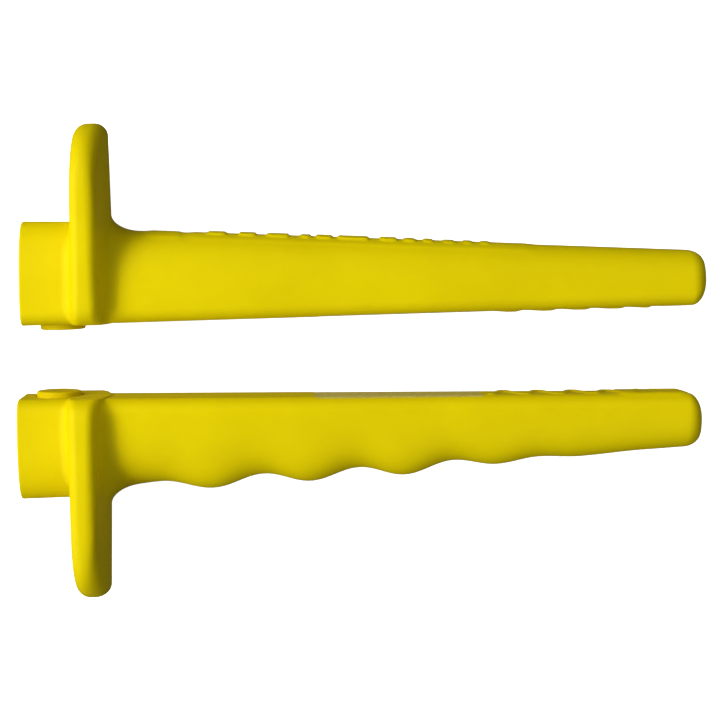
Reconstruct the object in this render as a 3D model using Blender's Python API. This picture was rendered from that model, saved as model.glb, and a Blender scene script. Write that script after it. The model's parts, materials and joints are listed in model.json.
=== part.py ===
"""Matched pair of moulded grips for a two-handled plier-type tool.

Each grip is a soft sleeve with a collar, a hand guard and a tapering handle,
moulded over a stiff liner that holds the blind socket for the tool's arm, with
a round stop button pressed into its inner face. The upper grip has a smooth
back and the lower one has finger grooves.

Every grip is drawn in its own frame, in millimetres:
    u  along the handle, 0 at the open end of the collar
    v  outwards from the flat inner face, which is v = 0
    w  sideways, 0 in the grip's plane of symmetry
and is then laid on its side on the ground, so that the guard's rim and the
butt of the handle both touch it.
"""

import math

import bmesh
import bpy
import numpy as np
from mathutils import Matrix, Vector

MM = 0.001

# ---------------------------------------------------------------- collar
LENGTH = 172.8  # collar end to the edge of the butt's crown
COLLAR_HEIGHT = 25.81  # inner face to the back of the collar, at u = 0
COLLAR_TAPER = 0.027  # fall of the collar's back per mm of u
COLLAR_HALF_WIDTH = 10.47
COLLAR_EDGE = 0.4  # rounding of the collar's open end

# ---------------------------------------------------------------- handle
HANDLE_HEIGHT = 24.5  # the handle's back line carried to u = 0
HANDLE_TAPER = 0.0614
HANDLE_HALF_WIDTH = 10.96  # carried to u = 0
HANDLE_WIDTH_TAPER = 0.0233
INNER_CORNER = 3.64  # corner radius beside the flat inner face
DOME_POWER = 2.35  # superellipse power of the rounded back
BUTT_ROUND = 3.75  # rounding of the butt, across
BUTT_LENGTH = 4.1  # the same, along the handle
BUTT_LOW = 1.62  # share of it taken by the inner corner
BUTT_HIGH = 0.82  # share of it taken by the back
BUTT_CROWN = 0.35

# ---------------------------------------------------------------- finger grooves
# (u, lift over the plain back) of each trough and ridge, in order. Four fingers
# at a pitch of about 24, and a shallower fifth trough towards the butt.
GROOVES = (
    (20.0, 0.30),
    (35.0, -0.65),
    (48.2, 2.00),
    (60.6, -0.68),
    (72.8, 2.05),
    (84.8, -0.55),
    (96.7, 2.17),
    (109.0, -0.65),
    (120.3, 1.15),
    (131.0, 0.00),
    (141.5, 0.68),
    (158.0, 0.18),
    (172.8, 0.15),
)

# ---------------------------------------------------------------- guard
GUARD_U = 17.52  # middle plane, at the level of the lean
GUARD_REACH = {True: 50.92, False: 49.94}  # to the tip: grooved grip, smooth grip
GUARD_LEAN = 0.0087  # lean towards the hand per mm of v
GUARD_LEAN_V = 12.0
GUARD_HALF_WIDTH = 16.22
GUARD_PROUD = {True: 0.32, False: 0.15}  # how far its base stands out of the inner face
GUARD_BASE_CORNER = 5.0
GUARD_HALF_THICK = 5.02  # at the inner face
GUARD_DRAFT = 0.0167
COLLAR_SIDE_DRAFT = 0.02  # the face draws in from the parting plane, per mm of w
HAND_SIDE_DRAFT = 0.2  # the same on the hand's side
GUARD_CREST = 2.0  # rounding of the faces where the drafts meet
RIM_COLLAR = 2.4  # rounding of the rim on the collar's side
RIM_HAND = 1.5  # the same on the hand's side
RIM_COLLAR_TIP = 4.1  # the same two at the guard's tip
RIM_HAND_TIP = 2.8
HAND_FILLET = 5.57
COLLAR_FILLET_SIDE = 2.6
COLLAR_FILLET_BACK = 0.4
RAY_V = 11.0  # height of the axis that the guard is laid out around
RAY_FALL = 0.033  # fall of that axis per mm, past RAY_U
RAY_U = 31.0

# ---------------------------------------------------------------- liner and socket
SOCKET_MOUTH = 1.0  # the liner starts this far inside the collar
SOCKET_DEPTH = 130.0
SOCKET_HALF_WIDTH = (4.5, 2.75)  # at the mouth, at the end
SOCKET_INNER_V = (5.2, 4.4)
SOCKET_OUTER_V = (19.2, 10.4)
SOCKET_CORNER = 1.0
LINER_WALL = 1.65
LINER_END = 2.2
GAP = 0.3  # clearance drawn between pieces that touch

# ---------------------------------------------------------------- stop button
BUTTON_U = 9.33
BUTTON_RADIUS = 5.6
BUTTON_PROUD = 1.45
BUTTON_SUNK = 0.9
BUTTON_STEM_RADIUS = 2.2
BUTTON_STEM_END = 2.4
BUTTON_EDGE = 0.5

# ---------------------------------------------------------------- how the pair lies
LOWER_INNER_Y = -8.913  # inner face of the lower grip, at the collar end
UPPER_INNER_Y = 9.262  # inner face of the upper grip, at the collar end
LOWER_X = -87.097
UPPER_X = -86.009
LOWER_YAW = 0.0
UPPER_YAW = 1.413  # degrees, about the vertical

# ---------------------------------------------------------------- mesh density
AROUND = 40  # points around a section
RIM_STEPS = 4
FACE_STEPS = 3
FILLET_STEPS = 6
COLLAR_STEPS = 3
HANDLE_STEP = 3.6
BUTT_STEPS = 5
BUTTON_SEGMENTS = 32

SLEEVE_YELLOW = (0.78, 0.60, 0.004, 1.0)
LINER_GREY = (0.035, 0.035, 0.037, 1.0)
BUTTON_YELLOW = (0.74, 0.57, 0.006, 1.0)


def smooth(x, low, high):
    """0 below low, 1 above high, with level ends."""
    t = np.clip((np.asarray(x, float) - low) / (high - low), 0.0, 1.0)
    return t * t * (3.0 - 2.0 * t)


def groove_lift(u):
    """Height added to the plain back, eased between each trough and ridge."""
    u = np.asarray(u, float)
    lift = np.full(u.shape, GROOVES[0][1])
    for (u0, h0), (u1, h1) in zip(GROOVES, GROOVES[1:]):
        turn = 0.5 - 0.5 * np.cos(math.pi * np.clip((u - u0) / (u1 - u0), 0.0, 1.0))
        lift = np.where(u >= u0, h0 + (h1 - h0) * turn, lift)
    return lift


def back_height(u, grooved):
    """Back of the handle above the inner face."""
    h = HANDLE_HEIGHT - HANDLE_TAPER * u
    return h + groove_lift(u) if grooved else h


def ray_axis(u):
    return RAY_V - RAY_FALL * np.clip(np.asarray(u, float) - RAY_U, 0.0, None)


def cast(inside, alpha, centre_v, reach=70.0):
    """Distance from (w=0, v=centre_v) to an outline, along each angle."""
    low = np.zeros_like(alpha)
    high = np.full_like(alpha, reach)
    for _ in range(40):
        mid = 0.5 * (low + high)
        hit = inside(mid * np.cos(alpha), centre_v + mid * np.sin(alpha))
        low = np.where(hit, mid, low)
        high = np.where(hit, high, mid)
    return 0.5 * (low + high)


def section_radius(alpha, centre_v, height, half_width, inset, low=1.0, high=1.0):
    """Outline of the body: flat inner face, round corners, domed back. An inset
    moves the sides in by itself, the inner face by low times itself and the back
    by high times itself."""
    corner = np.maximum(INNER_CORNER - 0.6 * inset, 0.8)
    b = half_width - inset
    h = height - (low + high) * inset

    def inside(w, v):
        w, v = np.abs(w), v - low * inset
        over = np.clip((v - corner) / (h - corner), 0.0, None)
        dome = (w / b) ** DOME_POWER + over**DOME_POWER <= 1.0
        out = w - (b - corner)
        foot = np.where(
            out <= 0.0, v >= 0.0, out * out + (v - corner) ** 2 <= corner * corner
        )
        return np.where(v >= corner, dome, foot)

    return cast(inside, alpha, centre_v)


def guard_radius(alpha, grooved):
    """Outline of the guard: square base with round corners, round tip."""
    top = GUARD_REACH[grooved] - GUARD_HALF_WIDTH
    base = -GUARD_PROUD[grooved]
    c = GUARD_BASE_CORNER

    def inside(w, v):
        w = np.abs(w)
        tip = w * w + (v - top) ** 2 <= GUARD_HALF_WIDTH**2
        side = w <= GUARD_HALF_WIDTH
        out = w - (GUARD_HALF_WIDTH - c)
        foot = np.where(
            out <= 0.0, v >= base, out * out + (v - base - c) ** 2 <= c * c
        )
        return np.where(v > top, tip, np.where(v < base + c, foot, side))

    return cast(inside, alpha, RAY_V)


def collar_radius(alpha, u, inset=0.0):
    return section_radius(
        alpha, RAY_V, COLLAR_HEIGHT - COLLAR_TAPER * u, COLLAR_HALF_WIDTH, inset
    )


def handle_radius(alpha, u, grooved, inset=0.0):
    return section_radius(
        alpha,
        ray_axis(u),
        back_height(u, grooved),
        HANDLE_HALF_WIDTH - HANDLE_WIDTH_TAPER * u,
        inset,
        BUTT_LOW,
        BUTT_HIGH,
    )


def ray_angles(count):
    """Angles of the points around a section, evenly spaced along the collar's
    outline, with one in the middle of the inner face and one on the crest."""
    dense = np.linspace(-math.pi / 2, math.pi / 2, 2001)
    r = collar_radius(dense, np.full_like(dense, 10.0))
    w, v = r * np.cos(dense), r * np.sin(dense)
    run = np.concatenate([[0.0], np.cumsum(np.hypot(np.diff(w), np.diff(v)))])
    half = np.interp(np.linspace(0.0, run[-1], count // 2 + 1), run, dense)
    return np.concatenate([half, math.pi - half[1:-1][::-1]])


def ring(alpha, u, radius, centre_v):
    u = np.broadcast_to(np.asarray(u, float), alpha.shape)
    return np.stack(
        [u, centre_v + radius * np.sin(alpha), radius * np.cos(alpha)], axis=1
    )


def guard_half(sign, v, w):
    """Guard's middle plane to one of its faces, w away from the parting plane."""
    draw = HAND_SIDE_DRAFT if sign > 0 else COLLAR_SIDE_DRAFT
    away = np.sqrt(w * w + GUARD_CREST**2) - GUARD_CREST
    return GUARD_HALF_THICK - GUARD_DRAFT * v - draw * away


def guard_profile(depth, fillet, rounding, steps_rim, steps_face, steps_fillet):
    """One side of the guard from rim to body, as (du, e) pairs for each ray.

    du is measured from the guard's face and e from the body's surface. The rim's
    rounding and the fillet meet the face, or each other where the face is short.
    """
    drop = np.maximum(fillet - depth + rounding, 0.0)
    across = np.sqrt((fillet + rounding) ** 2 - drop**2)
    turn = np.arctan2(across, drop)
    centre = across - rounding
    rows = []
    for k in range(steps_rim + 1):
        a = turn * k / steps_rim
        rows.append(
            (
                -rounding + rounding * np.sin(a),
                depth - rounding + rounding * np.cos(a),
                "rim",
            )
        )
    top = depth - rounding + rounding * np.cos(turn)
    low = fillet - fillet * np.cos(turn)
    x_top = -rounding + rounding * np.sin(turn)
    x_low = centre - fillet * np.sin(turn)
    for k in range(1, steps_face):
        t = k / steps_face
        rows.append((x_top + (x_low - x_top) * t, top + (low - top) * t, "face"))
    for k in range(steps_fillet + 1):
        a = turn * (1.0 - k / steps_fillet)
        rows.append((centre - fillet * np.sin(a), fillet - fillet * np.cos(a), "fillet"))
    return rows


def sleeve_rings(grooved):
    """Rings of (u, v, w) points over the whole outside of a sleeve."""
    alpha = ray_angles(AROUND)
    fold = np.where(alpha > math.pi / 2, math.pi - alpha, alpha)
    guard = guard_radius(alpha, grooved)
    rings = []

    # Open end of the collar, rounded.
    for k in range(4):
        a = 0.5 * math.pi * k / 3
        inset = COLLAR_EDGE * (1.0 - math.sin(a))
        u = COLLAR_EDGE * (1.0 - math.cos(a))
        rings.append(ring(alpha, u, collar_radius(alpha, u, inset), RAY_V))

    # The guard's two sides. Its faces lean in towards the tip.
    flank = smooth(fold, math.radians(-62.0), math.radians(-30.0))
    to_back = smooth(fold, math.radians(35.0), math.radians(78.0))
    rim_v, rim_w = RAY_V + guard * np.sin(alpha), guard * np.cos(alpha)
    thick = guard_half(-1.0, rim_v, rim_w) + guard_half(1.0, rim_v, rim_w)
    tip = smooth(fold, math.radians(50.0), math.radians(80.0))
    rims = {
        -1.0: RIM_COLLAR + (RIM_COLLAR_TIP - RIM_COLLAR) * tip,
        1.0: RIM_HAND + (RIM_HAND_TIP - RIM_HAND) * tip,
    }
    squeeze = np.minimum(1.0, 0.97 * thick / (rims[-1.0] + rims[1.0]))
    sides = {}
    for name, sign in (("collar", -1.0), ("hand", 1.0)):
        if sign < 0:
            body = collar_radius(alpha, GUARD_U - GUARD_HALF_THICK)
            fillet = (
                0.3
                + (COLLAR_FILLET_SIDE - 0.3) * flank * (1.0 - to_back)
                + (COLLAR_FILLET_BACK - 0.3) * flank * to_back
            )
        else:
            body = handle_radius(alpha, GUARD_U + GUARD_HALF_THICK, grooved)
            fillet = 0.3 + (HAND_FILLET - 0.3) * flank
        depth = guard - body
        rounding = np.minimum(rims[sign] * squeeze, 0.56 * depth)
        rows = guard_profile(
            depth,
            fillet,
            rounding,
            RIM_STEPS,
            FACE_STEPS,
            FILLET_STEPS if sign > 0 else 3,
        )
        made = []
        for du, e, where in rows:
            flat = body + e
            v = RAY_V + flat * np.sin(alpha)
            middle = GUARD_U + GUARD_LEAN * (v - GUARD_LEAN_V)
            u = middle + sign * (guard_half(sign, v, flat * np.cos(alpha)) + du)
            if where == "fillet":
                own = (
                    collar_radius(alpha, u)
                    if sign < 0
                    else handle_radius(alpha, u, grooved)
                )
                made.append(ring(alpha, u, own + e, RAY_V))
            else:
                made.append(ring(alpha, u, flat, RAY_V))
        sides[name] = made

    # Collar, up to where the fillet on the guard begins.
    first = sides["collar"][-1][:, 0]
    for k in range(1, COLLAR_STEPS):
        u = COLLAR_EDGE + (first - COLLAR_EDGE) * k / COLLAR_STEPS
        rings.append(ring(alpha, u, collar_radius(alpha, u), RAY_V))
    rings.extend(reversed(sides["collar"]))
    rings.extend(sides["hand"])

    # Handle, from the end of the hand side's fillet to the butt's rounding.
    last = sides["hand"][-1][:, 0]
    settle = GUARD_U + GUARD_HALF_THICK + HAND_FILLET + 2.0
    rings.append(ring(alpha, 0.5 * (last + settle),
                      handle_radius(alpha, 0.5 * (last + settle), grooved),
                      ray_axis(0.5 * (last + settle))))
    end = LENGTH - BUTT_LENGTH
    steps = int(round((end - settle) / HANDLE_STEP))
    for k in range(steps + 1):
        u = np.full_like(alpha, settle + (end - settle) * k / steps)
        rings.append(ring(alpha, u, handle_radius(alpha, u, grooved), ray_axis(u)))

    # Butt.
    for k in range(1, BUTT_STEPS + 1):
        a = math.radians(84.0) * k / BUTT_STEPS
        u = np.full_like(alpha, end + BUTT_LENGTH * math.sin(a))
        inset = BUTT_ROUND * (1.0 - math.cos(a))
        rings.append(
            ring(alpha, u, handle_radius(alpha, u, grooved, inset), ray_axis(u))
        )
    return rings


def skin(rings, first_cap, last_point=None):
    """A closed mesh over rings of equal length."""
    bm = bmesh.new()
    rows = [[bm.verts.new([c * MM for c in p]) for p in r] for r in rings]
    n = len(rows[0])
    for a, b in zip(rows, rows[1:]):
        for i in range(n):
            j = (i + 1) % n
            bm.faces.new((a[i], a[j], b[j], b[i]))
    if first_cap:
        bm.faces.new(list(reversed(rows[0])))
    if last_point is None:
        bm.faces.new(rows[-1])
    else:
        tip = bm.verts.new([c * MM for c in last_point])
        for i in range(n):
            bm.faces.new((rows[-1][i], rows[-1][(i + 1) % n], tip))
    bmesh.ops.recalc_face_normals(bm, faces=bm.faces)
    return bm


def box_ring(u, half, low, high, corner, steps=3):
    """A rounded rectangle across the grip, as a ring of points."""
    points = []
    for cw, cv, start in (
        (half - corner, high - corner, 0.0),
        (-half + corner, high - corner, 90.0),
        (-half + corner, low + corner, 180.0),
        (half - corner, low + corner, 270.0),
    ):
        for k in range(steps + 1):
            a = math.radians(start + 90.0 * k / steps)
            points.append((u, cv + corner * math.sin(a), cw + corner * math.cos(a)))
    return points


def socket_size(u):
    t = (u - SOCKET_MOUTH) / SOCKET_DEPTH
    return (
        SOCKET_HALF_WIDTH[0] + (SOCKET_HALF_WIDTH[1] - SOCKET_HALF_WIDTH[0]) * t,
        SOCKET_INNER_V[0] + (SOCKET_INNER_V[1] - SOCKET_INNER_V[0]) * t,
        SOCKET_OUTER_V[0] + (SOCKET_OUTER_V[1] - SOCKET_OUTER_V[0]) * t,
    )


def socket_ring(u, grow):
    half, low, high = socket_size(u)
    return box_ring(u, half + grow, low - grow, high + grow, SOCKET_CORNER + 0.6 * grow)


def liner_mesh():
    """Stiff liner: a tapering box tube, closed at its far end."""
    bottom = SOCKET_MOUTH + SOCKET_DEPTH
    end = bottom + LINER_END
    rings = [
        socket_ring(bottom, 0.0),
        socket_ring(0.5 * (SOCKET_MOUTH + bottom), 0.0),
        socket_ring(SOCKET_MOUTH + 0.6, 0.0),
        socket_ring(SOCKET_MOUTH, 0.4),
        socket_ring(SOCKET_MOUTH, LINER_WALL),
        socket_ring(0.5 * (SOCKET_MOUTH + bottom), LINER_WALL),
        socket_ring(end - 0.6, LINER_WALL),
        socket_ring(end, LINER_WALL - 0.6),
    ]
    return skin(rings, first_cap=True)


def bore_cutter():
    """The hollow that the liner fills, with its clearance."""
    end = SOCKET_MOUTH + SOCKET_DEPTH + LINER_END + GAP
    grow = LINER_WALL + GAP
    rings = [socket_ring(-2.0, grow), socket_ring(60.0, grow), socket_ring(end, grow)]
    return skin(rings, first_cap=True)


def turned(profile, segments):
    """A solid turned about the button's axis, from (radius, v) pairs."""
    bm = bmesh.new()
    verts = [bm.verts.new((BUTTON_U * MM, v * MM, r * MM)) for r, v in profile]
    edges = [bm.edges.new(pair) for pair in zip(verts, verts[1:])]
    bmesh.ops.spin(
        bm,
        geom=verts + edges,
        cent=(BUTTON_U * MM, 0.0, 0.0),
        axis=(0.0, 1.0, 0.0),
        angle=2.0 * math.pi,
        steps=segments,
        use_merge=True,
    )
    bmesh.ops.remove_doubles(bm, verts=bm.verts, dist=1e-6)
    bmesh.ops.recalc_face_normals(bm, faces=bm.faces)
    return bm


def button_mesh():
    """Stop button: a disc with a rounded edge and a short stem behind it."""
    r, e = BUTTON_RADIUS, BUTTON_EDGE
    return turned(
        [
            (0.0, -BUTTON_PROUD),
            (r - e, -BUTTON_PROUD),
            (r - 0.29 * e, -BUTTON_PROUD + 0.29 * e),
            (r, -BUTTON_PROUD + e),
            (r, BUTTON_SUNK),
            (BUTTON_STEM_RADIUS, BUTTON_SUNK),
            (BUTTON_STEM_RADIUS, BUTTON_STEM_END - 0.3),
            (BUTTON_STEM_RADIUS - 0.3, BUTTON_STEM_END),
            (0.0, BUTTON_STEM_END),
        ],
        BUTTON_SEGMENTS,
    )


def pocket_cutter():
    """The seat that the button is pressed into, with its clearance."""
    r = BUTTON_RADIUS + GAP
    return turned(
        [
            (0.0, -3.0),
            (r, -3.0),
            (r, BUTTON_SUNK + GAP),
            (BUTTON_STEM_RADIUS + GAP, BUTTON_SUNK + GAP),
            (BUTTON_STEM_RADIUS + GAP, BUTTON_STEM_END + GAP),
            (0.0, BUTTON_STEM_END + GAP),
        ],
        BUTTON_SEGMENTS,
    )


def material(name, colour, roughness):
    m = bpy.data.materials.new(name)
    m.use_nodes = True
    shader = m.node_tree.nodes["Principled BSDF"]
    shader.inputs["Base Color"].default_value = colour
    shader.inputs["Roughness"].default_value = roughness
    shader.inputs["Metallic"].default_value = 0.0
    m.diffuse_color = colour
    return m


def place(name, bm, parent, mat, flip, cutter=False):
    """An object from a mesh drawn in a grip's frame. The lower grip is the same
    frame turned half a turn about u, so that its guard points the other way."""
    if flip:
        bmesh.ops.transform(bm, matrix=Matrix.Rotation(math.pi, 4, "X"), verts=bm.verts)
    mesh = bpy.data.meshes.new(name)
    bm.to_mesh(mesh)
    bm.free()
    obj = bpy.data.objects.new(name, mesh)
    bpy.context.scene.collection.objects.link(obj)
    obj.parent = parent
    if mat is not None:
        mesh.materials.append(mat)
    if cutter:
        obj.hide_render = True
        obj.display_type = "WIRE"
    else:
        mesh.shade_smooth()
        mesh.set_sharp_from_angle(angle=math.radians(35.0))
    return obj


def cut(obj, cutter, name):
    mod = obj.modifiers.new(name, "BOOLEAN")
    mod.operation = "DIFFERENCE"
    mod.solver = "EXACT"
    mod.object = cutter


def rest_pitch():
    """How far the handle dips when the guard's rim and the butt both touch down."""
    butt_u = LENGTH - BUTT_LENGTH
    butt = HANDLE_HALF_WIDTH - HANDLE_WIDTH_TAPER * butt_u
    guard_u = GUARD_U + guard_half(1.0, RAY_V, GUARD_HALF_WIDTH) - RIM_HAND
    return math.atan2(GUARD_HALF_WIDTH - butt, butt_u - guard_u)


def main():
    for obj in list(bpy.data.objects):
        bpy.data.objects.remove(obj, do_unlink=True)

    yellow = material("sleeve_yellow", SLEEVE_YELLOW, 0.5)
    grey = material("liner_grey", LINER_GREY, 0.55)
    button = material("button_yellow", BUTTON_YELLOW, 0.45)

    pitch = rest_pitch()
    grips = (
        ("lower_grip", True, LOWER_X, LOWER_INNER_Y, LOWER_YAW),
        ("upper_grip", False, UPPER_X, UPPER_INNER_Y, UPPER_YAW),
    )
    shown = []
    frames = []
    for grip, grooved, x, y, yaw in grips:
        # The frame's origin is on the inner face at the collar's open end.
        frame = bpy.data.objects.new(grip + "_frame", None)
        bpy.context.scene.collection.objects.link(frame)
        frame.rotation_mode = "XYZ"
        frame.rotation_euler = (0.0, pitch, math.radians(yaw))
        frame.location = (x * MM, y * MM, 0.0)
        frames.append(frame)

        rings = sleeve_rings(grooved)
        centre_v = float(ray_axis(LENGTH))
        tip = (LENGTH + BUTT_CROWN, centre_v, 0.0)
        sleeve = place(
            grip + "_sleeve", skin(rings, True, tip), frame, yellow, grooved
        )
        bore = place(grip + "_bore_cutter", bore_cutter(), frame, None, grooved, True)
        pocket = place(
            grip + "_pocket_cutter", pocket_cutter(), frame, None, grooved, True
        )
        cut(sleeve, bore, "bore")
        cut(sleeve, pocket, "pocket")
        liner = place(grip + "_liner", liner_mesh(), frame, grey, grooved)
        stop = place(grip + "_stop_button", button_mesh(), frame, button, grooved)
        shown += [sleeve, liner, stop]

    # Drop each grip onto the ground, then centre the pair over the origin.
    bpy.context.view_layer.update()
    for frame in frames:
        low = min(
            (o.matrix_world @ v.co).z
            for o in shown
            if o.parent == frame
            for v in o.data.vertices
        )
        frame.location.z -= low
    bpy.context.view_layer.update()
    points = [o.matrix_world @ v.co for o in shown for v in o.data.vertices]
    mid = Vector(
        [0.5 * (min(p[k] for p in points) + max(p[k] for p in points)) for k in (0, 1)]
        + [0.0]
    )
    for frame in frames:
        frame.location -= mid
    bpy.context.view_layer.update()


main()
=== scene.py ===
"""Looks for the matched pair of moulded grips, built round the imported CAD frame.

Each grip is drawn in its own frame, in millimetres:
    u  along the handle, 0 at the open end of the collar
    v  outwards from the flat inner face, which is v = 0
    w  sideways, 0 in the grip's plane of symmetry
The grips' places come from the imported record's mounts, so nothing is fitted here.
"""

import json
import math

import bmesh
import bpy
import numpy as np
from mathutils import Matrix, Vector


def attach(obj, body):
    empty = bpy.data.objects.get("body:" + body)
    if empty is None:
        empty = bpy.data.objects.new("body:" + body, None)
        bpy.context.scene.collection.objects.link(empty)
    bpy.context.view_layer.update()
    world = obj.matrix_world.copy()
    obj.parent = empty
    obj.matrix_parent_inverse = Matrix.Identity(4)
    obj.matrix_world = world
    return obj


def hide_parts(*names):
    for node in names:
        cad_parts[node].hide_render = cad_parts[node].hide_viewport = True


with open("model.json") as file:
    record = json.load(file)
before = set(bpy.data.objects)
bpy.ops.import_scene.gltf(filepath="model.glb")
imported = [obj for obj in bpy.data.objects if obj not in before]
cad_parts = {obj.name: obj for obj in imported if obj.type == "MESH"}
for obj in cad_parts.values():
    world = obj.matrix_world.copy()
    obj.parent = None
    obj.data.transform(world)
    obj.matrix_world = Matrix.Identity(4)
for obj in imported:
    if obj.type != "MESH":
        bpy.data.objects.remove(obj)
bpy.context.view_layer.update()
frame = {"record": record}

MM = 0.001

# ---------------------------------------------------------------- the CAD's own dimensions
LENGTH = 172.8
COLLAR_HEIGHT = 25.81
COLLAR_TAPER = 0.027
COLLAR_HALF_WIDTH = 10.47
COLLAR_EDGE = 0.4
HANDLE_HEIGHT = 24.5
HANDLE_TAPER = 0.0614
HANDLE_HALF_WIDTH = 10.96
HANDLE_WIDTH_TAPER = 0.0233
INNER_CORNER = 3.64
DOME_POWER = 2.35
BUTT_ROUND = 3.75
BUTT_LENGTH = 4.1
BUTT_LOW = 1.62
BUTT_HIGH = 0.82
BUTT_CROWN = 0.35
GROOVES = (
    (20.0, 0.30),
    (35.0, -0.65),
    (48.2, 2.00),
    (60.6, -0.68),
    (72.8, 2.05),
    (84.8, -0.55),
    (96.7, 2.17),
    (109.0, -0.65),
    (120.3, 1.15),
    (131.0, 0.00),
    (141.5, 0.68),
    (158.0, 0.18),
    (172.8, 0.15),
)
GUARD_U = 17.52
GUARD_REACH = {True: 50.92, False: 49.94}
GUARD_LEAN = 0.0087
GUARD_LEAN_V = 12.0
GUARD_HALF_WIDTH = 16.22
GUARD_PROUD = {True: 0.32, False: 0.15}
GUARD_BASE_CORNER = 5.0
GUARD_HALF_THICK = 5.02
GUARD_DRAFT = 0.0167
COLLAR_SIDE_DRAFT = 0.02
HAND_SIDE_DRAFT = 0.2
GUARD_CREST = 2.0
RIM_COLLAR = 2.4
RIM_HAND = 2.4
RIM_COLLAR_TIP = 3.4
RIM_HAND_TIP = 3.3
HAND_FILLET = 5.57
HAND_FILLET_TIGHT = 3.9  # at the guard, where the fillet is tightest
HAND_FILLET_STRETCH = 0.75  # how much longer it is along the back than up the guard
COLLAR_FILLET_SIDE = 2.6
COLLAR_FILLET_BACK = 0.4
RAY_V = 11.0
RAY_FALL = 0.033
RAY_U = 31.0
SOCKET_MOUTH = 1.0
SOCKET_DEPTH = 130.0
SOCKET_HALF_WIDTH = (4.5, 2.75)
SOCKET_INNER_V = (5.2, 4.4)
SOCKET_OUTER_V = (19.2, 10.4)
SOCKET_CORNER = 1.0
LINER_WALL = 1.65
LINER_END = 2.2
GAP = 0.3
BUTTON_U = 9.33
BUTTON_RADIUS = 5.6
BUTTON_PROUD = 1.45
BUTTON_SUNK = 0.9
BUTTON_STEM_RADIUS = 2.2
BUTTON_STEM_END = 2.4
BUTTON_EDGE = 0.5

# ---------------------------------------------------------------- surface detail
PANEL = (73.5, 160.5)  # recessed panel in the inner face, along u
PANEL_ROUGH_END = 116.0  # its floor is spark-textured up to here, then carries bars
PANEL_DEPTH = 0.06
PAD_RISE = 0.50  # raised pads on the smooth grip's back
# Pads along the smooth back: middle, length, share of the full rise.
PADS = (
    (48.6, 4.6, 0.9),
    (56.3, 4.2, 1.0),
    (64.0, 5.4, 1.0),
    (70.9, 2.5, 0.9),
    (75.6, 4.0, 1.0),
    (83.0, 7.6, 1.0),
    (91.9, 4.2, 1.0),
    (97.3, 2.8, 0.9),
    (102.0, 2.4, 0.8),
    (107.3, 2.8, 0.6),
    (112.0, 2.2, 0.6),
    (116.5, 2.2, 0.6),
)
END_RISE = 0.36
BAR_RISE = 0.35  # raised bars in the panel
SEAM_RISE = 0.05  # mould parting line
MOUTH_ROUND = 0.5

# ---------------------------------------------------------------- mesh density
RIM_STEPS = 12
FACE_STEPS = 11
FILLET_STEPS = 18
COLLAR_FILLET_STEPS = 9
COLLAR_STEPS = 22
HANDLE_STEP = 0.46
BUTT_STEPS = 18


def smooth(x, low, high):
    t = np.clip((np.asarray(x, float) - low) / (high - low), 0.0, 1.0)
    return t * t * (3.0 - 2.0 * t)


def groove_lift(u):
    u = np.asarray(u, float)
    lift = np.full(u.shape, GROOVES[0][1])
    for (u0, h0), (u1, h1) in zip(GROOVES, GROOVES[1:]):
        turn = 0.5 - 0.5 * np.cos(math.pi * np.clip((u - u0) / (u1 - u0), 0.0, 1.0))
        lift = np.where(u >= u0, h0 + (h1 - h0) * turn, lift)
    return lift


def back_height(u, grooved):
    h = HANDLE_HEIGHT - HANDLE_TAPER * u
    return h + groove_lift(u) if grooved else h


def ray_axis(u):
    return RAY_V - RAY_FALL * np.clip(np.asarray(u, float) - RAY_U, 0.0, None)


def cast(inside, alpha, centre_v, reach=70.0):
    """Distance from (w=0, v=centre_v) to an outline, along each angle."""
    low = np.zeros_like(alpha)
    high = np.full_like(alpha, reach)
    for _ in range(44):
        mid = 0.5 * (low + high)
        hit = inside(mid * np.cos(alpha), centre_v + mid * np.sin(alpha))
        low = np.where(hit, mid, low)
        high = np.where(hit, high, mid)
    return 0.5 * (low + high)


def section_radius(alpha, centre_v, height, half_width, inset, low=1.0, high=1.0):
    """Outline of the body: flat inner face, round corners, domed back."""
    corner = np.maximum(INNER_CORNER - 0.6 * inset, 0.8)
    b = half_width - inset
    h = height - (low + high) * inset

    def inside(w, v):
        w, v = np.abs(w), v - low * inset
        over = np.clip((v - corner) / (h - corner), 0.0, None)
        dome = (w / b) ** DOME_POWER + over**DOME_POWER <= 1.0
        out = w - (b - corner)
        foot = np.where(
            out <= 0.0, v >= 0.0, out * out + (v - corner) ** 2 <= corner * corner
        )
        return np.where(v >= corner, dome, foot)

    return cast(inside, alpha, centre_v)


def guard_radius(alpha, grooved):
    top = GUARD_REACH[grooved] - GUARD_HALF_WIDTH
    base = -GUARD_PROUD[grooved]
    c = GUARD_BASE_CORNER

    def inside(w, v):
        w = np.abs(w)
        tip = w * w + (v - top) ** 2 <= GUARD_HALF_WIDTH**2
        side = w <= GUARD_HALF_WIDTH
        out = w - (GUARD_HALF_WIDTH - c)
        foot = np.where(
            out <= 0.0, v >= base, out * out + (v - base - c) ** 2 <= c * c
        )
        return np.where(v > top, tip, np.where(v < base + c, foot, side))

    return cast(inside, alpha, RAY_V)


def collar_radius(alpha, u, inset=0.0):
    return section_radius(
        alpha, RAY_V, COLLAR_HEIGHT - COLLAR_TAPER * u, COLLAR_HALF_WIDTH, inset
    )


def handle_radius(alpha, u, grooved, inset=0.0):
    return section_radius(
        alpha,
        ray_axis(u),
        back_height(u, grooved),
        HANDLE_HALF_WIDTH - HANDLE_WIDTH_TAPER * u,
        inset,
        BUTT_LOW,
        BUTT_HIGH,
    )


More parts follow.
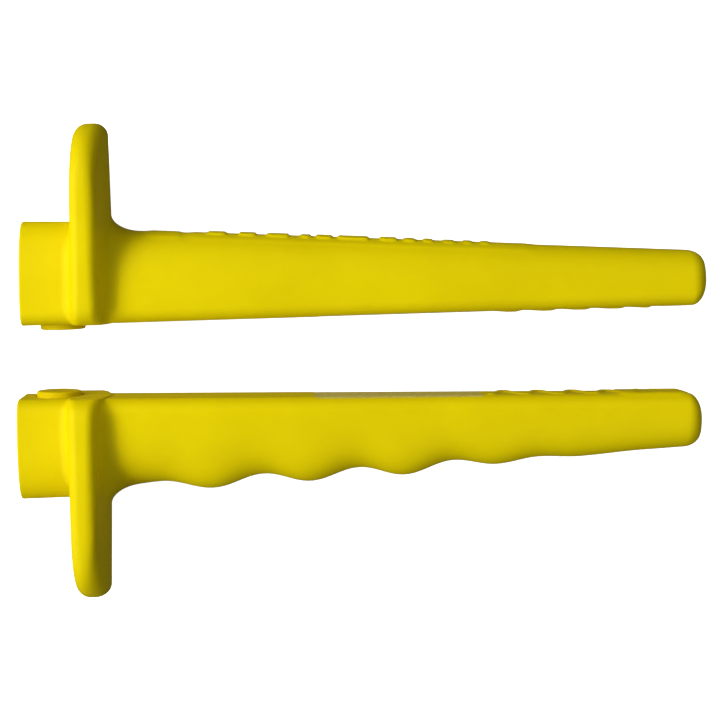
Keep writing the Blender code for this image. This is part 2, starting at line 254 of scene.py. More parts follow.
def rounded_box_radius(alpha, centre_v, half, low, high, corner):
    """Outline of a rounded rectangle, along the rays."""
    mid, tall = 0.5 * (low + high), 0.5 * (high - low)

    def inside(w, v):
        a = np.abs(w) - (half - corner)
        b = np.abs(v - mid) - (tall - corner)
        outer = np.hypot(np.maximum(a, 0.0), np.maximum(b, 0.0))
        return outer + np.minimum(np.maximum(a, b), 0.0) <= corner

    return cast(inside, alpha, centre_v)


def ray_angles():
    """Angles of the points around a section, closest together on the flat inner
    face and on the crest of the back, which carry the fine detail."""
    dense = np.linspace(-math.pi / 2, math.pi / 2, 6001)
    r = handle_radius(dense, np.full_like(dense, 60.0), False)
    w, v = r * np.cos(dense), r * np.sin(dense)
    run = np.concatenate([[0.0], np.cumsum(np.hypot(np.diff(w), np.diff(v)))])
    total = run[-1]
    step = 0.30 + 0.28 * smooth(run, 7.5, 10.5) * (1.0 - smooth(run, total - 9.0, total - 6.0))
    count = np.concatenate([[0.0], np.cumsum(np.diff(run) / (0.5 * (step[1:] + step[:-1])))])
    number = int(round(count[-1]))
    half = np.interp(np.linspace(0.0, count[-1], number + 1), count, dense)
    # One more pair each side of the crest and of the inner face's middle, for the seam.
    thin = 0.14 / 13.0
    half = np.concatenate([[half[0], half[0] + thin], half[1:-1], [half[-1] - thin, half[-1]]])
    return np.concatenate([half, math.pi - half[1:-1][::-1]])


def ring(alpha, u, radius, centre_v):
    u = np.broadcast_to(np.asarray(u, float), alpha.shape)
    return np.stack(
        [u, centre_v + radius * np.sin(alpha), radius * np.cos(alpha)], axis=1
    )


def guard_half(sign, v, w):
    """Guard's middle plane to one of its faces, w away from the parting plane."""
    draw = HAND_SIDE_DRAFT if sign > 0 else COLLAR_SIDE_DRAFT
    away = np.sqrt(w * w + GUARD_CREST**2) - GUARD_CREST
    return GUARD_HALF_THICK - GUARD_DRAFT * v - draw * away


def guard_profile(depth, fillet, rounding, steps_rim, steps_face, steps_fillet, stretch):
    """One side of the guard from rim to body, as (du, e) pairs for each ray.

    The fillet is drawn out along the body by stretch.
    """
    drop = np.maximum(fillet - depth + rounding, 0.0)
    across = np.sqrt((fillet + rounding) ** 2 - drop**2)
    turn = np.arctan2(across, drop)
    centre = across - rounding
    rows = []
    for k in range(steps_rim + 1):
        a = turn * k / steps_rim
        rows.append(
            (-rounding + rounding * np.sin(a), depth - rounding + rounding * np.cos(a), False)
        )
    top = depth - rounding + rounding * np.cos(turn)
    low = fillet - fillet * np.cos(turn)
    x_top = -rounding + rounding * np.sin(turn)
    x_low = centre - fillet * np.sin(turn)
    for k in range(1, steps_face):
        t = k / steps_face
        rows.append((x_top + (x_low - x_top) * t, top + (low - top) * t, False))
    for k in range(steps_fillet + 1):
        a = turn * (1.0 - k / steps_fillet)
        rows.append(
            (stretch * (centre - fillet * np.sin(a)), fillet - fillet * np.cos(a), True)
        )
    return rows


def outer_rings(alpha, grooved):
    """Rings of points over the whole outside of a sleeve, and which part each is on."""
    fold = np.where(alpha > math.pi / 2, math.pi - alpha, alpha)
    guard = guard_radius(alpha, grooved)
    rings, kinds = [], []

    for k in range(10):
        a = 0.5 * math.pi * k / 9
        inset = COLLAR_EDGE * (1.0 - math.sin(a))
        u = COLLAR_EDGE * (1.0 - math.cos(a))
        rings.append(ring(alpha, u, collar_radius(alpha, u, inset), RAY_V))
        kinds.append("collar")

    flank = smooth(fold, math.radians(-62.0), math.radians(-30.0))
    to_back = smooth(fold, math.radians(35.0), math.radians(78.0))
    rim_v, rim_w = RAY_V + guard * np.sin(alpha), guard * np.cos(alpha)
    thick = guard_half(-1.0, rim_v, rim_w) + guard_half(1.0, rim_v, rim_w)
    tip = smooth(fold, math.radians(50.0), math.radians(80.0))
    rims = {
        -1.0: RIM_COLLAR + (RIM_COLLAR_TIP - RIM_COLLAR) * tip,
        1.0: RIM_HAND + (RIM_HAND_TIP - RIM_HAND) * tip,
    }
    squeeze = np.minimum(1.0, 0.97 * thick / (rims[-1.0] + rims[1.0]))
    sides = {}
    for name, sign in (("collar", -1.0), ("hand", 1.0)):
        if sign < 0:
            body = collar_radius(alpha, GUARD_U - GUARD_HALF_THICK)
            fillet = (
                0.3
                + (COLLAR_FILLET_SIDE - 0.3) * flank * (1.0 - to_back)
                + (COLLAR_FILLET_BACK - 0.3) * flank * to_back
            )
        else:
            body = handle_radius(alpha, GUARD_U + GUARD_HALF_THICK, grooved)
            fillet = 0.3 + (HAND_FILLET_TIGHT - 0.3) * flank
        depth = guard - body
        rounding = np.minimum(rims[sign] * squeeze, 0.56 * depth)
        room = np.clip((depth - rounding - fillet) / fillet, 0.0, 1.0)
        stretch = 1.0 + HAND_FILLET_STRETCH * room * to_back if sign > 0 else 1.0
        rows = guard_profile(
            depth,
            fillet,
            rounding,
            RIM_STEPS,
            FACE_STEPS,
            FILLET_STEPS if sign > 0 else COLLAR_FILLET_STEPS,
            stretch,
        )
        made = []
        for du, e, on_fillet in rows:
            flat = body + e
            v = RAY_V + flat * np.sin(alpha)
            middle = GUARD_U + GUARD_LEAN * (v - GUARD_LEAN_V)
            u = middle + sign * (guard_half(sign, v, flat * np.cos(alpha)) + du)
            if on_fillet:
                own = (
                    collar_radius(alpha, u)
                    if sign < 0
                    else handle_radius(alpha, u, grooved)
                )
                made.append(ring(alpha, u, own + e, RAY_V))
            else:
                made.append(ring(alpha, u, flat, RAY_V))
        sides[name] = made

    first = sides["collar"][-1][:, 0]
    for k in range(1, COLLAR_STEPS):
        u = COLLAR_EDGE + (first - COLLAR_EDGE) * k / COLLAR_STEPS
        rings.append(ring(alpha, u, collar_radius(alpha, u), RAY_V))
        kinds.append("collar")
    rings.extend(reversed(sides["collar"]))
    rings.extend(sides["hand"])
    kinds.extend(["guard"] * (len(sides["collar"]) + len(sides["hand"])))

    last = sides["hand"][-1][:, 0]
    settle = GUARD_U + GUARD_HALF_THICK + HAND_FILLET + 2.0
    for k in range(1, 8):
        u = last + (settle - last) * k / 8
        rings.append(ring(alpha, u, handle_radius(alpha, u, grooved), ray_axis(u)))
        kinds.append("handle")
    end = LENGTH - BUTT_LENGTH
    steps = int(round((end - settle) / HANDLE_STEP))
    for k in range(steps + 1):
        u = np.full_like(alpha, settle + (end - settle) * k / steps)
        rings.append(ring(alpha, u, handle_radius(alpha, u, grooved), ray_axis(u)))
        kinds.append("handle")
    for k in range(1, BUTT_STEPS + 1):
        a = math.radians(84.0) * k / BUTT_STEPS
        u = np.full_like(alpha, end + BUTT_LENGTH * math.sin(a))
        inset = BUTT_ROUND * (1.0 - math.cos(a))
        rings.append(
            ring(alpha, u, handle_radius(alpha, u, grooved, inset), ray_axis(u))
        )
        kinds.append("butt")
    return np.array(rings), kinds


def ring_normals(points):
    """Outward normals of a lofted surface, by differences along and around it."""
    around = np.roll(points, -1, axis=1) - np.roll(points, 1, axis=1)
    along = np.empty_like(points)
    along[1:-1] = points[2:] - points[:-2]
    along[0], along[-1] = points[1] - points[0], points[-1] - points[-2]
    n = np.cross(around, along)
    size = np.linalg.norm(n, axis=2, keepdims=True)
    n = n / np.maximum(size, 1e-12)
    middle = points.mean(axis=1, keepdims=True)
    out = np.sum(n * (points - middle), axis=2).mean(axis=1)
    return n * np.where(out < 0, -1.0, 1.0)[:, None, None]


def pill(x, y, half_x, half_y, corner, edge):
    """1 on a rounded rectangle, easing to 0 over its edge."""
    a = np.abs(x) - (half_x - corner)
    b = np.abs(y) - (half_y - corner)
    d = np.hypot(np.maximum(a, 0), np.maximum(b, 0)) + np.minimum(np.maximum(a, b), 0) - corner
    return 1.0 - smooth(d, -edge, edge)


def around_from(points, column):
    """Signed distance round each section from one of its columns."""
    step = np.linalg.norm(np.roll(points, -1, axis=1) - points, axis=2)
    run = np.concatenate([np.zeros((len(points), 1)), np.cumsum(step, axis=1)], axis=1)
    total = run[:, -1:]
    s = run[:, :-1] - run[:, column : column + 1]
    return (s + 0.5 * total) % total - 0.5 * total


def detail(points, kinds, grooved):
    """Height added to each point of the outside, and the shares of rough panel floor and of raised mark there."""
    n = points.shape[1]
    crest = n // 2
    u = points[:, :, 0]
    on_handle = np.array([k in ("handle", "butt") for k in kinds])[:, None]
    inner = around_from(points, 0)
    back = around_from(points, crest)

    height = np.zeros(u.shape)
    # Recessed panel in the inner face, with raised slanted bars on its far part.
    half = 7.25 - 0.0233 * (u - 74.0) * 1.1
    reach = 0.5 * (PANEL[1] - PANEL[0])
    mid = 0.5 * (PANEL[1] + PANEL[0])
    panel = pill(u - mid, inner, reach, half, 1.6, 0.22) * on_handle
    height -= PANEL_DEPTH * panel
    rough = panel * (1.0 - smooth(u, PANEL_ROUGH_END - 0.3, PANEL_ROUGH_END + 0.3))
    bars = np.zeros(u.shape)
    for k in range(9):
        centre = 120.2 + 4.45 * k
        lean = 0.42 * inner * (1.0 if k % 2 == 0 else -1.0)
        bars = np.maximum(
            bars,
            pill(u - centre - lean, inner, 0.95, half - 1.35, 0.6, 0.24),
        )
    bars *= on_handle
    height += BAR_RISE * bars

    marks = bars
    if grooved:
        # The inner face swells a little towards the butt.
        height += END_RISE * pill(u - 159.8, inner, 8.6, 5.4, 2.0, 0.8) * (1.0 - 0.6 * bars)
    else:
        # Shoulder where the back's marked band begins, and the pads on the band.
        band = 1.0 - smooth(np.abs(back), 4.6, 6.2)
        height += 0.24 * band * (1.0 - smooth(u, 38.8, 40.2)) * smooth(u, 30.0, 33.0) * on_handle
        height += 0.20 * band * smooth(u, 41.0, 43.5) * (1.0 - smooth(u, 126.0, 130.0)) * on_handle
        pads = np.zeros(u.shape)
        for centre, length, share in PADS:
            pads = np.maximum(
                pads, share * pill(u - centre, back, 0.5 * length, 3.3, 0.9, 0.2)
            )
        pads *= on_handle
        height += PAD_RISE * pads
        marks = np.maximum(marks, pads)

    # Parting line of the mould, along the plane of symmetry.
    seam = np.zeros(u.shape)
    outside = np.array([k != "butt" for k in kinds])[:, None]
    seam[:, 0] = 1.0
    seam[:, crest] = 1.0
    height += SEAM_RISE * seam * outside * (1.0 - np.clip(panel + marks, 0, 1))
    return height, rough, marks


def sleeve_points(grooved):
    alpha = ray_angles()
    outside, kinds = outer_rings(alpha, grooved)
    height, rough, marks = detail(outside, kinds, grooved)
    outside = outside + ring_normals(outside) * height[:, :, None]

    # Open end: a flat ring of face, a rounded mouth, then the blind bore.
    grow = LINER_WALL + GAP

    def bore(u, widen):
        half, low, high = socket_size(u)
        t = min(max(u / (SOCKET_MOUTH + SOCKET_DEPTH), 0.0), 1.0)
        centre = RAY_V + (0.5 * (low + high) - RAY_V) * t
        g = grow + widen
        return ring(
            alpha,
            u,
            rounded_box_radius(
                alpha, centre, half + g, low - g, high + g, SOCKET_CORNER + 0.6 * grow + widen
            ),
            centre,
        )

    inside = []
    edge, mouth = outside[0], bore(0.0, MOUTH_ROUND)
    for k in range(1, 6):
        inside.append(edge + (mouth - edge) * k / 6)
    for k in range(7):
        a = 0.5 * math.pi * k / 6
        inside.append(bore(MOUTH_ROUND * (1.0 - math.cos(a)), MOUTH_ROUND * (1.0 - math.sin(a))))
    end = SOCKET_MOUTH + SOCKET_DEPTH + LINER_END + GAP
    for k in range(1, 17):
        inside.append(bore(MOUTH_ROUND + (end - MOUTH_ROUND) * k / 16, 0.0))
    inside = np.array(inside)

    rings = np.concatenate([inside[::-1], outside])
    pad = np.zeros((len(inside), len(alpha)))
    return rings, np.concatenate([pad, rough]), np.concatenate([pad, marks])


def socket_size(u):
    t = (u - SOCKET_MOUTH) / SOCKET_DEPTH
    return (
        SOCKET_HALF_WIDTH[0] + (SOCKET_HALF_WIDTH[1] - SOCKET_HALF_WIDTH[0]) * t,
        SOCKET_INNER_V[0] + (SOCKET_INNER_V[1] - SOCKET_INNER_V[0]) * t,
        SOCKET_OUTER_V[0] + (SOCKET_OUTER_V[1] - SOCKET_OUTER_V[0]) * t,
    )


def mesh_from_rings(name, rings, first_tip, last_tip, values=None):
    """A closed mesh over a stack of equal rings, with a point closing each end."""
    count, n = rings.shape[:2]
    points = np.concatenate([rings.reshape(-1, 3), [first_tip, last_tip]]) * MM
    base = np.arange(count - 1)[:, None] * n
    i = np.arange(n)[None, :]
    j = (i + 1) % n
    quads = np.stack([base + i, base + j, base + n + j, base + n + i], axis=2).reshape(-1, 4)
    i = np.arange(n)
    j = (i + 1) % n
    first, last = count * n, count * n + 1
    low = np.stack([np.full(n, first), j, i], axis=1)
    top = (count - 1) * n
    high = np.stack([np.full(n, last), top + i, top + j], axis=1)
    faces = [tuple(map(int, f)) for f in quads] + [tuple(map(int, f)) for f in low] + [
        tuple(map(int, f)) for f in high
    ]
    mesh = bpy.data.meshes.new(name)
    mesh.from_pydata([tuple(p) for p in points], [], faces)
    for key, value in (values or {}).items():
        field = mesh.attributes.new(key, "FLOAT", "POINT")
        field.data.foreach_set(
            "value", np.concatenate([value.reshape(-1), [0.0, 0.0]]).astype(np.float32)
        )
    return mesh


def face_outwards(mesh):
    """Turns the whole mesh the right way round if its volume comes out negative."""
    bm = bmesh.new()
    bm.from_mesh(mesh)
    if bm.calc_volume(signed=True) < 0:
        bmesh.ops.reverse_faces(bm, faces=bm.faces)
    bm.to_mesh(mesh)
    bm.free()


def turned_mesh(name, profile, segments):
    """A solid turned about the button's axis, from (radius, v) pairs that start and end on the axis."""
    angle = np.linspace(0.0, 2.0 * math.pi, segments, endpoint=False)
    rings = np.array(
        [
            np.stack(
                [BUTTON_U + r * np.cos(angle), np.full(segments, v), r * np.sin(angle)], axis=1
            )
            for r, v in profile[1:-1]
        ]
    )
    mesh = mesh_from_rings(
        name,
        rings,
        (BUTTON_U, profile[0][1], 0.0),
        (BUTTON_U, profile[-1][1], 0.0),
    )
    face_outwards(mesh)
    return mesh


def arc(cx, cy, radius, start, stop, steps):
    """Points of an arc, in degrees."""
    return [
        (
            cx + radius * math.cos(math.radians(start + (stop - start) * k / steps)),
            cy + radius * math.sin(math.radians(start + (stop - start) * k / steps)),
        )
        for k in range(steps + 1)
    ]


def button_profile():
    """Disc with a rounded face edge and a shallow dish, and a stem behind it."""
    r, e = BUTTON_RADIUS, BUTTON_EDGE
    face = [(0.0, -BUTTON_PROUD)]
    face += [(x, -BUTTON_PROUD) for x in (0.8, 1.8, 2.8, 3.8, 4.5)]
    face += arc(r - e, -BUTTON_PROUD + e, e, -90.0, 0.0, 7)
    wall = [(r, 0.1), (r, BUTTON_SUNK - 0.12), (r - 0.12, BUTTON_SUNK)]
    seat = [(4.2, BUTTON_SUNK), (3.0, BUTTON_SUNK), (BUTTON_STEM_RADIUS + 0.1, BUTTON_SUNK)]
    stem = [(BUTTON_STEM_RADIUS, BUTTON_SUNK + 0.1), (BUTTON_STEM_RADIUS, BUTTON_STEM_END - 0.3)]
    stem += arc(BUTTON_STEM_RADIUS - 0.3, BUTTON_STEM_END - 0.3, 0.3, 0.0, 90.0, 4)
    return face + wall + seat + stem + [(0.0, BUTTON_STEM_END)]


def pocket_profile():
    r = BUTTON_RADIUS + GAP
    stem = BUTTON_STEM_RADIUS + GAP
    return [
        (0.0, -3.0),
        (r + 0.2, -3.0),
        (r + 0.2, 0.0),
        (r + 0.06, 0.06),
        (r, 0.2),
        (r, BUTTON_SUNK + GAP),
        (stem, BUTTON_SUNK + GAP),
        (stem, BUTTON_STEM_END + GAP),
        (0.0, BUTTON_STEM_END + GAP),
    ]


def liner_mesh(name):
    """Stiff liner: a tapering box tube closed at its far end, with an eased mouth."""
    alpha = np.linspace(-math.pi / 2, 1.5 * math.pi, 144, endpoint=False)
    bottom = SOCKET_MOUTH + SOCKET_DEPTH
    end = bottom + LINER_END

    def section(u, grow):
        half, low, high = socket_size(u)
        return ring(
            alpha,
            u,
            rounded_box_radius(
                alpha,
                0.5 * (low + high),
                half + grow,
                low - grow,
                high + grow,
                SOCKET_CORNER + 0.6 * max(grow, 0.0),
            ),
            0.5 * (low + high),
        )

    rings = [section(bottom, -0.7), section(bottom - 0.2, -0.2), section(bottom - 0.7, 0.0)]
    rings += [section(bottom + (SOCKET_MOUTH + 1.0 - bottom) * k / 14, 0.0) for k in range(1, 15)]
    for k in range(1, 7):
        a = math.radians(15.0 * k)
        rings.append(section(SOCKET_MOUTH + 0.8 * (1.0 - math.sin(a)), 0.8 * (1.0 - math.cos(a))))
    for k in range(7):
        a = math.radians(15.0 * k)
        rings.append(
            section(SOCKET_MOUTH + 0.25 * (1.0 - math.cos(a)), LINER_WALL - 0.25 * (1.0 - math.sin(a)))
        )
    rings += [section(SOCKET_MOUTH + 0.3 + (end - SOCKET_MOUTH - 1.0) * k / 16, LINER_WALL) for k in range(1, 17)]
    for k in range(1, 7):
        a = math.radians(15.0 * k)
        rings.append(section(end - 0.6 * (1.0 - math.sin(a)), LINER_WALL - 0.6 * (1.0 - math.cos(a))))
    rings = np.array(rings)
    half, low, high = socket_size(bottom)
    mesh = mesh_from_rings(
        name,
        rings,
        (bottom, 0.5 * (low + high), 0.0),
        (end, 0.5 * (low + high), 0.0),
    )
    face_outwards(mesh)
    return mesh


def grip_matrix(name):
    """A grip's frame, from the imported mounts: its collar's end and its stop button's face."""
    mounts = {m["name"]: m for m in frame["record"]["mounts"]}
    collar, stop = mounts[name + "_collar_face"], mounts[name + "_stop_face"]
    u = -Vector(collar["axis"]).normalized()
    v = -Vector(stop["axis"]).normalized()
    w = u.cross(v).normalized()
    v = w.cross(u).normalized()
    origin = Vector(stop["pos_m"]) - u * (BUTTON_U * MM) + v * (BUTTON_PROUD * MM)
    return Matrix(
        (
            (u.x, v.x, w.x, origin.x),
            (u.y, v.y, w.y, origin.y),
            (u.z, v.z, w.z, origin.z),
            (0.0, 0.0, 0.0, 1.0),
        )
    )


def add(name, mesh):
    obj = bpy.data.objects.new(name, mesh)
    bpy.context.scene.collection.objects.link(obj)
    return obj


def settle_piece(obj, matrix, sharp):
    """Puts a piece's vertices where its grip lies, and shades it."""
    obj.data.transform(matrix)
    obj.data.shade_smooth()
    obj.data.set_sharp_from_angle(angle=math.radians(sharp))
    obj.data.update()


def cut_pocket(obj, cutter):
    """Cuts the button's seat out of the sleeve and keeps the result."""
    mod = obj.modifiers.new("pocket", "BOOLEAN")
    mod.operation = "DIFFERENCE"
    mod.solver = "EXACT"
    mod.object = cutter
    bpy.context.view_layer.update()
    graph = bpy.context.evaluated_depsgraph_get()
    mesh = bpy.data.meshes.new_from_object(obj.evaluated_get(graph), depsgraph=graph)
    obj.modifiers.clear()
    old = obj.data
    obj.data = mesh
    bpy.data.meshes.remove(old)
    waste = cutter.data
    bpy.data.objects.remove(cutter)
    bpy.data.meshes.remove(waste)


# ---------------------------------------------------------------- materials


class Nodes:
    """Short hand for building a material's node tree."""

    def __init__(self, name):
        self.material = bpy.data.materials.new(name)
        self.material.use_nodes = True
        self.tree = self.material.node_tree
        self.shader = self.tree.nodes["Principled BSDF"]
        self.column = 0

    def new(self, kind, **settings):
        node = self.tree.nodes.new(kind)
        self.column += 1
        node.location = (-260 * (1 + self.column % 6), 320 - 190 * (self.column // 6))
        for key, value in settings.items():
            setattr(node, key, value)
        return node

    def link(self, source, target):
        self.tree.links.new(source, target)

    def place(self, scale=(1.0, 1.0, 1.0)):
        coords = self.new("ShaderNodeTexCoord")
        mapping = self.new("ShaderNodeMapping")
        mapping.inputs["Scale"].default_value = scale
        self.link(coords.outputs["Object"], mapping.inputs["Vector"])
        return mapping.outputs["Vector"]

    def noise(self, scale, detail=2.0, roughness=0.5, stretch=(1.0, 1.0, 1.0)):
        node = self.new("ShaderNodeTexNoise")
        node.inputs["Scale"].default_value = scale
        node.inputs["Detail"].default_value = detail
        node.inputs["Roughness"].default_value = roughness
        self.link(self.place(stretch), node.inputs["Vector"])
        return node.outputs["Fac"]

    def math(self, operation, a, b=None, clamp=False):
        node = self.new("ShaderNodeMath", operation=operation, use_clamp=clamp)
        for socket, value in zip(node.inputs, (a, b)):
            if value is None:
                continue
            if isinstance(value, (int, float)):
                socket.default_value = value
            else:
                self.link(value, socket)
        return node.outputs[0]

    def span(self, value, low, high, to_low=0.0, to_high=1.0):
        node = self.new("ShaderNodeMapRange", clamp=True)
        for key, x in (("From Min", low), ("From Max", high), ("To Min", to_low), ("To Max", to_high)):
            node.inputs[key].default_value = x
        self.link(value, node.inputs["Value"])
        return node.outputs["Result"]

    def mix(self, share, a, b, blend="MIX"):
        node = self.new("ShaderNodeMix", data_type="RGBA", blend_type=blend, clamp_factor=True)
        for socket, value in ((node.inputs[0], share), (node.inputs[6], a), (node.inputs[7], b)):
            if isinstance(value, (int, float)):
                socket.default_value = value
            elif isinstance(value, tuple):
                socket.default_value = value
            else:
                self.link(value, socket)
        return node.outputs[2]

    def field(self, name):
        node = self.new("ShaderNodeAttribute", attribute_type="GEOMETRY", attribute_name=name)
        return node.outputs["Fac"]


def yellow_material():
    """Satin yellow moulding: faint marbling, spark-textured grain, and rough panels painted paler and whiter as a
    painted sheen.
    """
    n = Nodes("moulded_yellow")
    cloud = n.noise(38.0, 3.0, 0.55)
    fine = n.noise(420.0, 3.0, 0.6)
    rough_panel_and_sheen = n.field("rough")
    base = n.mix(n.span(cloud, 0.32, 0.68), (0.80, 0.634, 0.0, 1.0), (0.865, 0.692, 0.0, 1.0))
    base = n.mix(n.math("MULTIPLY", n.span(fine, 0.55, 0.75), 0.25), base, (0.76, 0.606, 0.0, 1.0))
    speckle = n.noise(2600.0, 1.0, 0.5, (0.35, 1.0, 1.0))
    # Painted sheen: the rough panel floor is coloured paler and whiter to stand in for the light it catches, over
    # its real speckled spark texture.
    painted_sheen_speckle = n.mix(n.span(speckle, 0.35, 0.65), (0.62, 0.50, 0.07, 1.0), (0.80, 0.68, 0.20, 1.0))
    base = n.mix(rough_panel_and_sheen, base, painted_sheen_speckle)
    n.link(base, n.shader.inputs["Base Color"])

    rough = n.span(n.noise(90.0, 4.0, 0.6), 0.3, 0.7, 0.46, 0.56)
    rough = n.math("ADD", rough, n.math("MULTIPLY", rough_panel_and_sheen, 0.25))
    n.link(rough, n.shader.inputs["Roughness"])
    n.shader.inputs["Specular IOR Level"].default_value = 0.22
    n.shader.inputs["Specular Tint"].default_value = (1.0, 0.86, 0.25, 1.0)

    grain = n.noise(1500.0, 2.0, 0.55)
    ripple = n.noise(60.0, 2.0, 0.5)
    height = n.math("ADD", n.math("MULTIPLY", grain, 0.012), n.math("MULTIPLY", ripple, 0.10))
    panel_grain = n.math("MULTIPLY", n.math("MULTIPLY", speckle, rough_panel_and_sheen), 0.08)
    height = n.math("ADD", height, panel_grain)
    bump = n.new("ShaderNodeBump")
    bump.inputs["Strength"].default_value = 0.6
    bump.inputs["Distance"].default_value = 0.001
    n.link(height, bump.inputs["Height"])
    n.link(bump.outputs["Normal"], n.shader.inputs["Normal"])
    return n.material


def button_material():
    n = Nodes("rubber_yellow")
    cloud = n.noise(120.0, 3.0, 0.55)
    base = n.mix(n.span(cloud, 0.3, 0.7), (0.76, 0.58, 0.0, 1.0), (0.84, 0.652, 0.0, 1.0))
    n.link(base, n.shader.inputs["Base Color"])
    n.link(n.span(n.noise(300.0, 3.0, 0.5), 0.3, 0.7, 0.52, 0.64), n.shader.inputs["Roughness"])
    n.shader.inputs["Specular IOR Level"].default_value = 0.2
    n.shader.inputs["Specular Tint"].default_value = (1.0, 0.86, 0.25, 1.0)
    bump = n.new("ShaderNodeBump")
    bump.inputs["Strength"].default_value = 0.5
    bump.inputs["Distance"].default_value = 0.001
    n.link(n.math("MULTIPLY", n.noise(1800.0, 2.0, 0.5), 0.02), bump.inputs["Height"])
    n.link(bump.outputs["Normal"], n.shader.inputs["Normal"])
    return n.material


def liner_material():
    """Glass-filled grey plastic: faint flow streaks along the moulding, dull grain."""
    n = Nodes("liner_dark_grey")
    flow = n.noise(140.0, 4.0, 0.6, (0.15, 1.0, 1.0))
    base = n.mix(n.span(flow, 0.3, 0.7), (0.028, 0.028, 0.030, 1.0), (0.050, 0.050, 0.052, 1.0))
    n.link(base, n.shader.inputs["Base Color"])
    n.link(n.span(n.noise(260.0, 3.0, 0.5), 0.3, 0.7, 0.42, 0.6), n.shader.inputs["Roughness"])
    bump = n.new("ShaderNodeBump")
    bump.inputs["Strength"].default_value = 0.5
    bump.inputs["Distance"].default_value = 0.001
    n.link(n.math("MULTIPLY", n.noise(900.0, 3.0, 0.6), 0.04), bump.inputs["Height"])
    n.link(bump.outputs["Normal"], n.shader.inputs["Normal"])
    return n.material


# ---------------------------------------------------------------- the two grips

yellow = yellow_material()
rubber = button_material()
grey = liner_material()

for grip, grooved in (("lower", True), ("upper", False)):
    body = grip + "_grip"
    matrix = grip_matrix(grip)

    rings, rough, marks = sleeve_points(grooved)
    end = SOCKET_MOUTH + SOCKET_DEPTH + LINER_END + GAP
    half, low, high = socket_size(end)
    mesh = mesh_from_rings(
        body + "_moulding",
        rings,
        (end, 0.5 * (low + high), 0.0),
        (LENGTH + BUTT_CROWN, float(ray_axis(LENGTH)), 0.0),
        {"rough": rough, "marks": marks},
    )
    face_outwards(mesh)
    sleeve = add(body + "_moulding", mesh)
    cutter = add(body + "_pocket", turned_mesh(body + "_pocket", pocket_profile(), 96))
    cut_pocket(sleeve, cutter)
    sleeve.data.materials.clear()
    sleeve.data.materials.append(yellow)
    settle_piece(sleeve, matrix, 40.0)
    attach(sleeve, body)
    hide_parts(body + "_sleeve")

    button = add(body + "_bumper", turned_mesh(body + "_bumper", button_profile(), 96))
    button.data.materials.append(rubber)
    settle_piece(button, matrix, 35.0)
    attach(button, body)
    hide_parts(body + "_stop_button")

    liner = add(body + "_core", liner_mesh(body + "_core"))
    liner.data.materials.append(grey)
    settle_piece(liner, matrix, 35.0)
    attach(liner, body)
    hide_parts(body + "_liner")

# ---------------------------------------------------------------- stage

floor_mesh = bpy.data.meshes.new("floor")
s = 6.0
floor_mesh.from_pydata(
    [(-s, -s, 0.0), (s, -s, 0.0), (s, s, 0.0), (-s, s, 0.0)], [], [(0, 1, 2, 3)]
)
floor = add("floor", floor_mesh)
floor.location = (0.0, 0.0, -0.0003)
paper = bpy.data.materials.new("floor_paper")
paper.use_nodes = True
shader = paper.node_tree.nodes["Principled BSDF"]
shader.inputs["Base Color"].default_value = (0.9, 0.9, 0.9, 1.0)
shader.inputs["Roughness"].default_value = 0.9
shader.inputs["Specular IOR Level"].default_value = 0.1
shader.inputs["Emission Color"].default_value = (1.0, 1.0, 1.0, 1.0)
shader.inputs["Emission Strength"].default_value = 1.0
floor_mesh.materials.append(paper)
floor.visible_diffuse = False
floor.visible_glossy = False

backdrop_mesh = bpy.data.meshes.new("backdrop")
dome = bmesh.new()
bmesh.ops.create_uvsphere(dome, u_segments=48, v_segments=24, radius=5.5)
dome.to_mesh(backdrop_mesh)
dome.free()
backdrop = add("backdrop", backdrop_mesh)
white = bpy.data.materials.new("backdrop_white")
white.use_nodes = True
shader = white.node_tree.nodes["Principled BSDF"]
shader.inputs["Base Color"].default_value = (0.0, 0.0, 0.0, 1.0)
shader.inputs["Specular IOR Level"].default_value = 0.0
shader.inputs["Emission Color"].default_value = (1.0, 1.0, 1.0, 1.0)
shader.inputs["Emission Strength"].default_value = 1.0
backdrop_mesh.materials.append(white)
backdrop.visible_diffuse = False
backdrop.visible_glossy = False
backdrop.visible_shadow = False

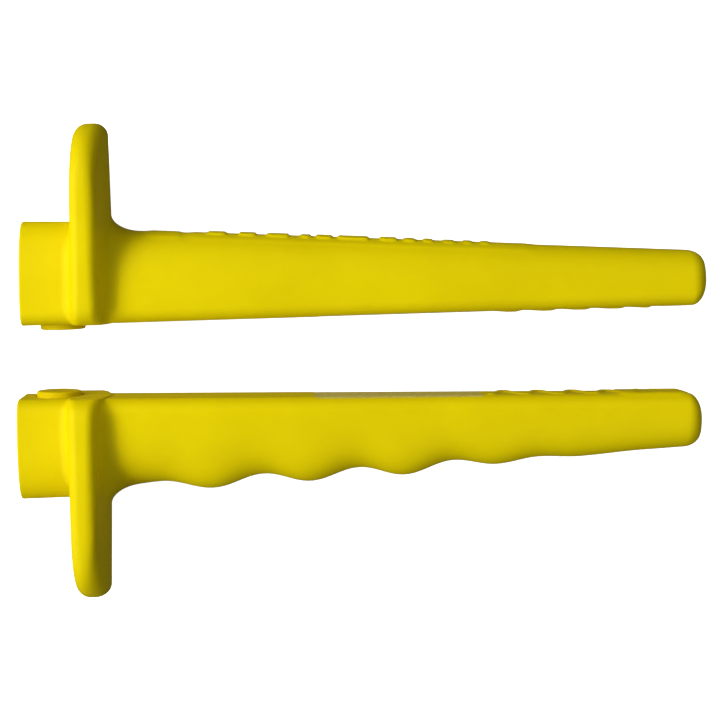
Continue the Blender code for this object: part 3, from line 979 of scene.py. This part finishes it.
world = bpy.data.worlds.new("studio")
bpy.context.scene.world = world
world.use_nodes = True
world.node_tree.nodes["Background"].inputs["Color"].default_value = (1.0, 1.0, 1.0, 1.0)
world.node_tree.nodes["Background"].inputs["Strength"].default_value = 0.04


def soft_box(name, position, target, width, height, power):
    data = bpy.data.lights.new(name, "AREA")
    data.shape = "RECTANGLE"
    data.size, data.size_y = width, height
    data.energy = power
    obj = bpy.data.objects.new(name, data)
    bpy.context.scene.collection.objects.link(obj)
    obj.location = position
    aim = Vector(target) - Vector(position)
    obj.rotation_mode = "QUATERNION"
    obj.rotation_quaternion = aim.to_track_quat("-Z", "Y")
    obj.visible_camera = False
    return obj


def around(name, azimuth, elevation, size, power, reach=1.15):
    """A soft box aimed at the middle of the pair, from a direction given in degrees."""
    a, e = math.radians(azimuth), math.radians(elevation)
    place = (reach * math.cos(a) * math.cos(e), reach * math.sin(a) * math.cos(e), reach * math.sin(e))
    return soft_box(name, place, (0.0, 0.0, 0.01), size, size, power)


around("light_170_40", 170.0, 40.0, 0.40, 5.250)
around("light_145_40", 145.0, 40.0, 0.40, 4.787)
around("light_220_40", 220.0, 40.0, 0.40, 3.825)
around("light_315_45", 315.0, 45.0, 0.52, 1.577)
around("light_120_40", 120.0, 40.0, 0.40, 1.531)
around("light_45_45", 45.0, 45.0, 0.52, 1.398)
around("light_195_40", 195.0, 40.0, 0.40, 0.334)
around("light_220_25", 220.0, 25.0, 0.40, 0.304)

# ---------------------------------------------------------------- camera

camera_data = bpy.data.cameras.new("camera")
camera = bpy.data.objects.new("camera", camera_data)
bpy.context.scene.collection.objects.link(camera)
camera_data.sensor_width = 36.0
camera_data.lens = 82.240
camera_data.shift_y = -0.0903
camera_data.clip_start = 0.01
camera_data.clip_end = 50.0
camera.location = (-0.001384, 0.033445, 0.430200)
camera.rotation_mode = "XYZ"
camera.rotation_euler = [math.radians(a) for a in (-2.3394, -0.0014, -0.1112)]
bpy.context.scene.camera = camera
bpy.context.scene.view_settings.view_transform = "Standard"
bpy.context.scene.view_settings.look = "None"
